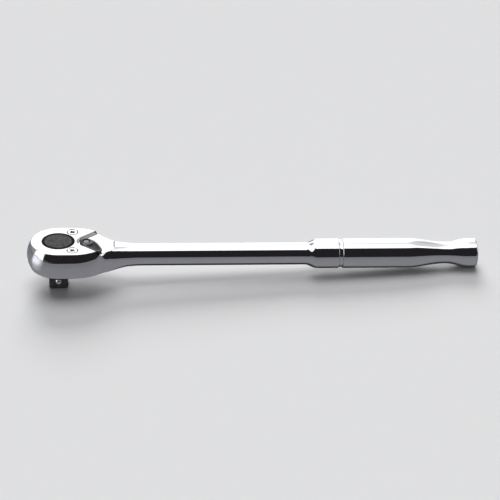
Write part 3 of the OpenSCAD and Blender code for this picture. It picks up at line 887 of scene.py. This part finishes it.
def drive_member():
    angles = [2 * math.pi * i / DRIVE_SEGMENTS for i in range(DRIVE_SEGMENTS)]
    rings = []

    def ring(z, radius):
        """radius: a function of the angle."""
        row = []
        for a in angles:
            r = radius(a)
            row.append((r * math.cos(a), r * math.sin(a), z))
        rings.append(row)

    def round_rings(table):
        """table: (z, radius) pairs."""
        for z, r in table:
            ring(z, lambda a: r)

    # end of the square: height, turned radius, inset of the flats, share of the radius
    round_rings([(0.0, 0.0)])
    square = [(0.0, 7.7, 0.16, 0.6), (0.0, 7.7, 0.16, 1.0), (0.06, 7.84, 0.05, 1.0),
              (0.15, 7.95, 0.0, 1.0), (0.55, 8.36, 0.0, 1.0)]
    square += [(z, TURNED_R, 0.0, 1.0) for z in (0.7, 2.0, 4.0, 6.0, 8.0, 10.0, 11.6, 12.6)]
    for z, turned, inset, share in square:
        ring(z, lambda a: square_radius(a, turned, inset) * share)

    # fillet under the journal
    for bend in quarter_turn(6):
        def filleted(a):
            r = square_radius(a, TURNED_R)
            return r + (1.0 - math.cos(bend)) * min(1.0, 8.95 - r)
        ring(12.75 + 1.0 * math.sin(bend), filleted)

    journal_z = HEAD_BOTTOM - 0.5
    gear_low, gear_high = HEAD_BOTTOM + 4.77, NOTCH_Z - 0.8
    # journal with the groove for the O-ring
    round_rings([
        (journal_z, 8.98), (journal_z + 0.04, 9.1), (journal_z + 0.16, JOURNAL_R),
        (HEAD_BOTTOM + 1.1, JOURNAL_R), (HEAD_BOTTOM + 1.15, 9.15), (HEAD_BOTTOM + 1.17, 8.2),
        (HEAD_BOTTOM + 1.3, 8.1), (HEAD_BOTTOM + 2.2, 8.1), (HEAD_BOTTOM + 2.33, 8.2),
        (HEAD_BOTTOM + 2.35, 9.15), (HEAD_BOTTOM + 2.4, JOURNAL_R),
        (gear_low - 0.002, JOURNAL_R)])
    # teeth: height, chamfer of the tips, inset of the whole ring
    for z, chamfer, inset in (
            (gear_low, 0.45, 0.18), (gear_low + 0.45, 0.0, 0.0), (gear_low + 3.2, 0.0, 0.0),
            (gear_low + 6.6, 0.0, 0.0), (gear_high - 0.45, 0.0, 0.0), (gear_high, 0.45, 0.18)):
        ring(z, lambda a: tooth_radius(a, chamfer) - inset)
    # boss with a rounded rim and a recess for the disc
    round_rings([(gear_high + 0.002, BOSS_R), (gear_high + 1.6, BOSS_R), (HEAD_TOP + 0.04, BOSS_R)])
    round_rings([(HEAD_TOP + 0.04 + 0.26 * math.sin(a), BOSS_R - 0.3 * (1 - math.cos(a)))
                 for a in quarter_turn(5)])
    round_rings([(HEAD_TOP + 0.3, 9.85), (HEAD_TOP + 0.27, 9.72), (HEAD_TOP + 0.17, 9.65),
                 (HEAD_TOP - 0.85, 9.65), (HEAD_TOP - 0.85, 5.0), (HEAD_TOP - 0.85, 0.0)])
    ob = loft("drive_member", rings)
    # blind hole for the ball and its spring, opening on the -Y flat
    loose, tight, mouth = BALL_R + 0.05, BALL_R - 0.02, BALL_R + 0.16
    place = (Matrix.Translation((0, 0, BALL_CENTRE.z))
             @ Matrix.Rotation(math.radians(90), 4, "X"))
    bore(ob, [(0, -2.7), (1.6, -2.7), (loose, -2.0), (loose, SQUARE_HALF - 0.5),
              (tight, SQUARE_HALF - 0.26), (tight, SQUARE_HALF - 0.12),
              (mouth, SQUARE_HALF + 0.02), (mouth, 12), (0, 12)], 48, place)
    clean(ob)
    finish_piece(ob, "drive", "black_oxide", "drive_gear", sharp=24.0)


def centre_disc():
    low, high = box_mm("boss_disc")
    bottom, top = low.z, high.z
    profile = [(0, bottom), (9.45, bottom), (9.6, bottom + 0.15), (9.6, top - 0.32),
               (9.55, top - 0.18), (9.38, top - 0.08), (9.1, top - 0.06), (8.6, top - 0.05),
               (6.0, top - 0.02), (3.0, top - 0.004), (0, top)]
    ob = lathe("centre_disc", profile, 128)
    finish_piece(ob, "drive", "disc_grey", "boss_disc", sharp=30.0)


def detent_ball():
    """A ball from a subdivided cube, drawn in very slightly round its middle."""
    verts, faces = [], []
    n = 20
    for axis in range(3):
        for sign in (-1, 1):
            base = len(verts)
            for i in range(n + 1):
                for j in range(n + 1):
                    p = [0.0, 0.0, 0.0]
                    p[axis] = float(sign)
                    p[(axis + 1) % 3] = math.tan((i / n * 2 - 1) * math.pi / 4)
                    p[(axis + 2) % 3] = math.tan((j / n * 2 - 1) * math.pi / 4)
                    out = Vector(p).normalized()
                    verts.append(tuple(out * (BALL_R - 0.004 * (1 - smooth(abs(out.z) * 6)))))
            for i in range(n):
                for j in range(n):
                    a = base + i * (n + 1) + j
                    faces.append((a, a + n + 1, a + n + 2, a + 1))
    ob = new_object("detent_ball", verts, faces, 1e-3)
    ob.data.transform(Matrix.Translation(BALL_CENTRE))
    finish_piece(ob, "ball", "polished_steel", "socket_ball", sharp=40.0, weighted=False)


# ---------------------------------------------------------------- springs

COIL_TURNS = 6.0                    # the first and the last turn are closed


def coil(name, coil_r, wire_r, length):
    """A round-wire compression spring standing on z = 0."""
    count = int(COIL_TURNS * 28)
    segments = 12
    lead = 2 * wire_r * 1.03
    span = length - 2 * wire_r
    rings = []
    for i in range(count + 1):
        t = COIL_TURNS * i / count
        if t <= 1:
            z = lead * t
        elif t >= COIL_TURNS - 1:
            z = span - lead * (COIL_TURNS - t)
        else:
            z = lead + (span - 2 * lead) * (t - 1) / (COIL_TURNS - 2)
        a = 2 * math.pi * t
        centre = Vector((coil_r * math.cos(a), coil_r * math.sin(a), wire_r + z))
        out = Vector((math.cos(a), math.sin(a), 0))
        up = Vector((0, 0, 1))
        r = wire_r * (0.55 if i in (0, count) else 1.0)
        rings.append([tuple(centre + out * (r * math.cos(2 * math.pi * k / segments))
                            + up * (r * math.sin(2 * math.pi * k / segments)))
                      for k in range(segments)])
    return capped(name, rings)


def detent_spring():
    low, high = box_mm("ball_spring")
    length = high.y - low.y
    ob = coil("detent_spring", coil_r=1.6, wire_r=0.27, length=length)
    ob.data.transform(Matrix.Translation((0, high.y, BALL_CENTRE.z))
                      @ Matrix.Rotation(math.radians(90), 4, "X"))
    finish_piece(ob, "drive", "spring_steel", "ball_spring", sharp=40.0, weighted=False)
    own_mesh(ob)


def plunger_spring():
    length = 2.76
    ob = coil("plunger_spring_coil", coil_r=0.55, wire_r=0.12, length=length)
    place = (LEVER_PLACE @ Matrix.Translation((1.68, 0, PLUNGER_Z))
             @ Matrix.Rotation(math.radians(-90), 4, "Y"))
    ob.data.transform(place)
    finish_piece(ob, "lever", "spring_steel", "plunger_spring", sharp=40.0, weighted=False)
    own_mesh(ob)


# ---------------------------------------------------------------- reversing lever

# in the lever's own frame: along from the pin, and across
LEVER_LENGTH, HUB_R = 15.8, 4.4
TAPER_END = 15.4
HALF_WIDTH = monotone_curve(
    [0.0, 1.2, 2.5, 4.0, 5.5, 7.8, 10.1, 11.5, 13.2, 14.4, 15.2, TAPER_END],
    [4.45, 4.8, 5.0, 5.05, 4.97, 4.58, 4.06, 3.73, 3.1, 2.35, 1.5, 1.1])
BLADE_BOTTOM = 0.95                 # underside of the blade above the notch floor
RECESS_R = 2.78                     # outer edge of the recess round the pin


def lever_outline():
    """Points round the lever's outline, evenly spaced."""
    raw = []
    for i in range(181):
        a = math.pi / 2 + math.pi * i / 180
        raw.append((HUB_R * math.cos(a), HUB_R * math.sin(a)))
    side = [(TAPER_END * i / 120, HALF_WIDTH(TAPER_END * i / 120)) for i in range(1, 121)]
    side += [(LEVER_LENGTH - 0.4 * (1 - math.sqrt(1 - (w / 1.1) ** 2)), w)
             for w in (1.0, 0.85, 0.65, 0.4, 0.2)]
    raw += [(u, -w) for u, w in side] + [(LEVER_LENGTH, 0.0)] + list(reversed(side))
    raw.append(raw[0])
    run = [0.0]
    for a, b in zip(raw, raw[1:]):
        run.append(run[-1] + math.hypot(b[0] - a[0], b[1] - a[1]))
    out = []
    n, j = 216, 0
    for i in range(n):
        at = run[-1] * i / n
        while run[j + 1] < at:
            j += 1
        share = (at - run[j]) / max(run[j + 1] - run[j], 1e-9)
        (u0, w0), (u1, w1) = raw[j], raw[j + 1]
        out.append((u0 + (u1 - u0) * share, w0 + (w1 - w0) * share))
    return out


def lever_top(along, across):
    """Height of the upper face: a flat round the pin, then a dish with a narrow rim."""
    rim = LEVER_TOP - LEVER_FALL * max(0.0, along - FALL_START)
    if along <= 0.5:
        return rim
    start = smooth((math.hypot(along, across) - 4.3) / 1.3)
    half = max(HALF_WIDTH(min(along, TAPER_END)) - 1.4, 0.05)
    u = abs(across) / half
    bowl = (1 - u * u) if u < 1 else 0.0
    end = smooth((15.1 - along) / 4.5)
    return rim - 0.95 * start * end * bowl ** 0.7


def shift_lever():
    outline = lever_outline()
    rings = []

    def ring(radius, height):
        """radius(reach) and height(along, across, reach); reach: the outline's distance."""
        row = []
        for along, across in outline:
            reach = math.hypot(along, across)
            r = radius(reach)
            s, t = along / reach * r, across / reach * r
            row.append((s, t, NOTCH_Z + height(s, t, reach)))
        rings.append(row)

    def round_rings(table):
        """table: (radius, height) pairs."""
        for r, h in table:
            ring(lambda b: r, lambda s, t, b: h)

    def tip(reach):
        return smooth((reach - 11.0) / 4.6)

    # underside, from the pin hole out to the blade
    round_rings([(1.98, 0.28), (3.05, 0.26), (3.07, 0.12), (3.3, 0.12), (3.4, 0.2), (3.42, 0.88),
                 (3.5, BLADE_BOTTOM)])
    ring(lambda b: 3.5 + (b - 3.5) * 0.5, lambda s, t, b: BLADE_BOTTOM)
    # lower edge, rounded up more at the tip
    for share in (0.0, 0.2, 0.4, 0.6, 0.8, 1.0):
        a = math.pi / 2 * share
        ring(lambda b: b - (0.12 + 1.2 * tip(b)) * (1 - math.sin(a)),
             lambda s, t, b: BLADE_BOTTOM + (0.14 + 0.5 * tip(b)) * (1 - math.cos(a)))
    ring(lambda b: b, lambda s, t, b: (
        BLADE_BOTTOM + (lever_top(s, t) - BLADE_BOTTOM) * (0.45 + 0.15 * tip(b))))
    for a in [0.0] + quarter_turn(6):
        ring(lambda b: b - 0.1 * (1 - math.cos(a)),
             lambda s, t, b: lever_top(s, t) - 0.52 - 0.1 * (1 - math.sin(a)))
    # broad bevel round the upper edge: inset, drop
    for inset, drop in ((0.35, 0.3), (0.58, 0.1), (0.66, 0.04), (0.75, 0.005)):
        ring(lambda b: b - inset, lambda s, t, b: lever_top(s, t) - drop)
    # upper face in to the recess round the pin
    n = 48
    for i in range(1, n + 1):
        share = 1 - i / n
        ring(lambda b: RECESS_R + (b - 0.8 - RECESS_R) * share,
             lambda s, t, b: lever_top(s, t))
    round_rings([(2.71, 2.77), (2.66, 2.7), (2.64, 2.6), (2.63, 2.2), (2.58, 2.06), (2.48, 2.0),
                 (2.05, 2.0), (1.98, 1.9)])
    ob = loft("shift_lever", rings, True)
    ob.data.transform(LEVER_PLACE)
    finish_piece(ob, "lever", "lever_black", "reversing_lever", sharp=35.0)


def lever_pin():
    low, high = box_mm("lever_shaft")
    bottom, top = low.z, high.z
    profile = [
        # foot and the groove for the retaining ring
        (0, bottom), (2.2, bottom), (2.5, bottom + 0.3), (2.5, WEB_Z - 0.64),
        (2.42, WEB_Z - 0.6), (1.95, WEB_Z - 0.6), (1.95, WEB_Z - 0.08), (2.5, WEB_Z - 0.08),
        # collar in the web
        (2.5, WEB_Z - 0.04), (2.9, WEB_Z - 0.04), (3.0, WEB_Z + 0.06), (3.0, NOTCH_Z + 0.1),
        (2.92, NOTCH_Z + 0.2), (1.95, NOTCH_Z + 0.22),
        # dimpled top
        (1.95, top - 0.24), (1.92, top - 0.14), (1.84, top - 0.05), (1.7, top),
        (1.5, top - 0.02), (1.22, top - 0.09), (0.8, top - 0.145), (0.4, top - 0.165),
        (0, top - 0.17),
    ]
    ob = lathe("lever_pin", profile, 64)
    # cross hole for the plunger
    bore(ob, [(0, -1.7), (0.85, -1.7), (0.85, 2.3), (1.0, 2.5), (1.0, 7), (0, 7)], 32,
         Matrix.Translation((0, 0, PLUNGER_Z)) @ Matrix.Rotation(math.radians(-90), 4, "Y"))
    clean(ob)
    ob.data.transform(LEVER_PLACE)
    finish_piece(ob, "lever", "polished_steel", "lever_shaft", sharp=28.0, material="pin_steel")


def hidden_works():
    """The works inside the head keep their CAD shapes."""
    for node, slot in (("thrust_washer", "bronze"), ("friction_washer", "spring_steel"),
                       ("drive_o_ring", "seal_rubber"), ("pawl", "tool_steel"),
                       ("lever_retaining_ring", "spring_steel"),
                       ("pawl_plunger", "polished_steel")):
        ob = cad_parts[node]
        ob.data.materials.clear()
        ob.data.materials.append(MATERIALS[slot])


# ---------------------------------------------------------------- camera

def camera():
    # tilt down, swing towards +X and roll
    tilt, swing, roll = radians(29.67, 5.183, 2.211)
    forward = Vector((math.sin(swing) * math.cos(tilt), math.cos(swing) * math.cos(tilt),
                      -math.sin(tilt)))
    right = Vector((math.cos(swing), -math.sin(swing), 0))
    up = right.cross(forward)
    rolled_right = math.cos(roll) * right + math.sin(roll) * up
    rolled_up = -math.sin(roll) * right + math.cos(roll) * up
    cam = bpy.data.objects.new("camera", bpy.data.cameras.new("camera"))
    cam.data.sensor_width = 36.0
    cam.data.lens = 148.12
    cam.data.clip_start = 0.05
    cam.data.clip_end = 50.0
    SCENE.collection.objects.link(cam)
    position = Matrix.Translation((0.019771, -1.197353, 0.709963))  # metres
    cam.matrix_world = position @ Matrix((rolled_right, rolled_up, -forward)).transposed().to_4x4()
    SCENE.camera = cam
    return cam


def room_turn(cam):
    """An empty whose -Y side stays towards the camera; floor and room are shaded from it."""
    aim = bpy.data.objects.new("room_turn", None)
    SCENE.collection.objects.link(aim)
    con = aim.constraints.new("LOCKED_TRACK")
    con.target = cam
    con.track_axis = "TRACK_NEGATIVE_Y"
    con.lock_axis = "LOCK_Z"
    return aim


# ---------------------------------------------------------------- floor

FLOOR_X = 6.6                       # where the floor meets z = 0; it rises towards +X
FLOOR_SLOPE = math.atan2(12.38, 278.0 - FLOOR_X)
FLOOR_HALF = 6.0                    # metres


def mirrored_floor(g, place, aim):
    """Painted brightness of the floor as the plating mirrors it: a painted reflection that glows
    for glossy rays.
    """
    x, y, _ = g.axes(place)
    x_mm = g.times(x, factor=1000.0)
    off_mm = g.math("ABSOLUTE", g.times(y, factor=1000.0))
    near = g.remap(off_mm, between=(15.0, 90.0), to=(0.225, 0.18))
    # millimetres to the camera's right, and away from it
    view = g.axes(g.node("TexCoord", object=aim).outputs["Object"])
    right = g.times(view[0], factor=1000.0)
    away = g.times(view[1], factor=1000.0)
    # angle of the floor point round the head, positive to the camera's left
    side = g.math("ARCTAN2", g.times(right, factor=-1.0), g.times(away, factor=-1.0))
    left = g.times(g.remap(side, between=radians(52.0, 72.0)),
                   g.remap(side, between=radians(92.0, 102.0), to=(1.0, 0.0)))
    left = g.times(left, g.remap(right, between=(-28.0, -90.0), to=(0.0, 0.75)))
    lit = g.add(near, left)
    # dark from the front edge on, except to the left
    edge = g.times(g.remap(away, between=(-300.0, -255.0), to=(1.0, 0.0)),
                   g.remap(side, between=radians(60.0, 54.0)))
    lit = g.times(lit, g.invert(g.times(edge, factor=0.92)))
    # white behind the tool
    lit = g.add(lit, g.times(g.remap(away, between=(25.0, 60.0), to=(0.0, 0.75)),
                             g.remap(right, between=(-34.0, -24.0))))
    # painted shadow right under the tool
    under = g.times(g.remap(off_mm, between=(6.0, 9.0), to=(1.0, 0.0)),
                    g.remap(x_mm, between=(-24.0, -16.0)))
    return g.times(lit, g.invert(g.times(under, factor=0.85)))


def floor_material(aim):
    """Pale and matt; glossy rays see painted brightness, and from below it is clear."""
    material, g = new_material("pale_floor")
    place = g.node("TexCoord").outputs["Object"]
    path = g.node("LightPath").outputs
    backfacing = g.node("NewGeometry").outputs["Backfacing"]
    grain = g.noise(place, scale=900.0, detail=3.0, rough=0.5)
    seen = g.mix(grain, low=(0.795, 0.795, 0.798), high=(0.805, 0.805, 0.808))
    matt = g.node("BsdfDiffuse", {"Color": seen}).outputs[0]
    tint = g.mix(mirrored_floor(g, place, aim), low=(0.0, 0.0, 0.0), high=(0.985, 0.99, 1.07))
    glow = g.node("Emission", {"Color": tint}).outputs[0]
    mirror = g.node("MixShader", {0: path["Is Glossy Ray"], 1: matt, 2: glow}).outputs[0]
    clear = g.node("BsdfTransparent").outputs[0]
    from_below = g.times(backfacing, path["Is Camera Ray"])
    surface = g.node("MixShader", {0: from_below, 1: mirror, 2: clear}).outputs[0]
    g.node("OutputMaterial", {"Surface": surface})
    return material


def floor(aim):
    material = floor_material(aim)
    mesh = bpy.data.meshes.new("pale_floor")
    s = FLOOR_HALF
    mesh.from_pydata([(-s, -s, 0), (s, -s, 0), (s, s, 0), (-s, s, 0)], [], [(0, 1, 2, 3)])
    mesh.materials.append(material)
    ob = bpy.data.objects.new("pale_floor", mesh)
    SCENE.collection.objects.link(ob)
    ob.matrix_world = (Matrix.Translation((FLOOR_X * MM, 0, 0))
                       @ Matrix.Rotation(-FLOOR_SLOPE, 4, "Y"))


# ---------------------------------------------------------------- room and lights

def studio_room(g, aim):
    """Colour of a white room with one dark opening on the camera's side."""
    coord = g.node("TexCoord", object=aim).outputs["Object"]
    unit = g.node("VectorMath", {0: coord}, operation="NORMALIZE").outputs["Vector"]
    x, y, z = g.axes(unit)
    height = g.math("ARCSINE", z)
    # 0 towards the camera, positive to its right
    turn = g.math("ARCTAN2", x, g.times(y, factor=-1.0))

    def fade(value, at, width, to):
        """A soft step; at and width in degrees."""
        return g.remap(value, radians(at - width / 2, at + width / 2), to,
                       interpolation_type="SMOOTHSTEP")

    def above(value, at, width):
        return fade(value, at, width, to=(0.0, 1.0))

    def below(value, at, width):
        return fade(value, at, width, to=(1.0, 0.0))

    # dark opening, lower towards its right end
    top = g.add(height, g.remap(turn, between=radians(48.0, 79.0), to=radians(0.0, 12.0)))
    band = g.times(above(height, at=-1.5, width=1.5), below(top, at=63.0, width=3.0))
    sides = g.times(above(turn, at=-57.0, width=5.0), below(turn, at=79.0, width=5.0))
    dark = g.times(band, sides)
    low = below(height, at=-1.5, width=1.5)
    # greyer wall on the right, with a white pane in it
    wall = g.times(g.times(above(turn, at=83.0, width=6.0), below(turn, at=158.0, width=16.0)),
                   below(height, at=75.0, width=14.0))
    pane = g.times(g.times(above(turn, at=82.0, width=4.0), below(turn, at=118.0, width=10.0)),
                   g.times(above(height, at=29.5, width=3.0), below(height, at=52.0, width=4.0)))
    wall = g.times(wall, g.invert(pane))
    # dim corner at the far left, in a low and a higher part
    far_left = g.times(
        g.times(below(turn, at=-97.0, width=8.0), above(turn, at=-176.0, width=4.0)),
        below(height, at=19.0, width=6.0))
    upper_left = g.times(
        g.times(below(turn, at=-97.0, width=8.0), above(turn, at=-150.0, width=12.0)),
        below(height, at=50.0, width=10.0))
    far_left = g.math("MAXIMUM", far_left, upper_left)
    grey = g.mix(above(height, at=52.0, width=12.0), low=(0.52, 0.52, 0.53), high=(0.7, 0.7, 0.71))
    room = g.mix(wall, low=(1.32, 1.32, 1.33), high=grey)
    room = g.mix(far_left, room, high=(0.27, 0.27, 0.29))
    room = g.mix(dark, room, high=(0.016, 0.014, 0.017))
    return g.mix(low, room, high=(0.17, 0.17, 0.18))


def studio(aim):
    """The room is seen only in reflections; other rays meet plain greys."""
    world = bpy.data.worlds.new("studio")
    SCENE.world = world
    world.use_nodes = True
    g = Graph(world.node_tree)
    room = studio_room(g, aim)
    path = g.node("LightPath").outputs
    plain = g.mix(path["Is Camera Ray"], low=(0.16, 0.162, 0.17), high=(0.738, 0.738, 0.738))
    colour = g.mix(path["Is Glossy Ray"], plain, room)
    background = g.node("Background", {"Color": colour, "Strength": 1.0})
    g.node("OutputWorld", {"Surface": background.outputs[0]})


def soft_box(name, energy, angle, toward):
    """A wide sun, angle in degrees, shining from the direction toward."""
    sun = bpy.data.objects.new(name, bpy.data.lights.new(name, "SUN"))
    sun.data.energy = energy
    sun.data.angle = math.radians(angle)
    SCENE.collection.objects.link(sun)
    sun.rotation_mode = "QUATERNION"
    sun.rotation_quaternion = Vector(toward).normalized().to_track_quat("Z", "Y")
    sun.visible_glossy = False


# ---------------------------------------------------------------- build

forged_handle()
cover_plate()
cover_screws()
drive_member()
centre_disc()
detent_ball()
detent_spring()
plunger_spring()
shift_lever()
lever_pin()
hidden_works()

room_aim = room_turn(camera())
floor(room_aim)
studio(room_aim)
# one almost overhead, one lower behind the tool
soft_box("overhead_box", energy=1.3, angle=46.0, toward=(-0.08, 0.24, 1.0))
soft_box("rear_box", energy=2.3, angle=31.0, toward=(-0.1, 1.75, 1.0))
SCENE.view_settings.view_transform = "Standard"
SCENE.view_settings.look = "None"
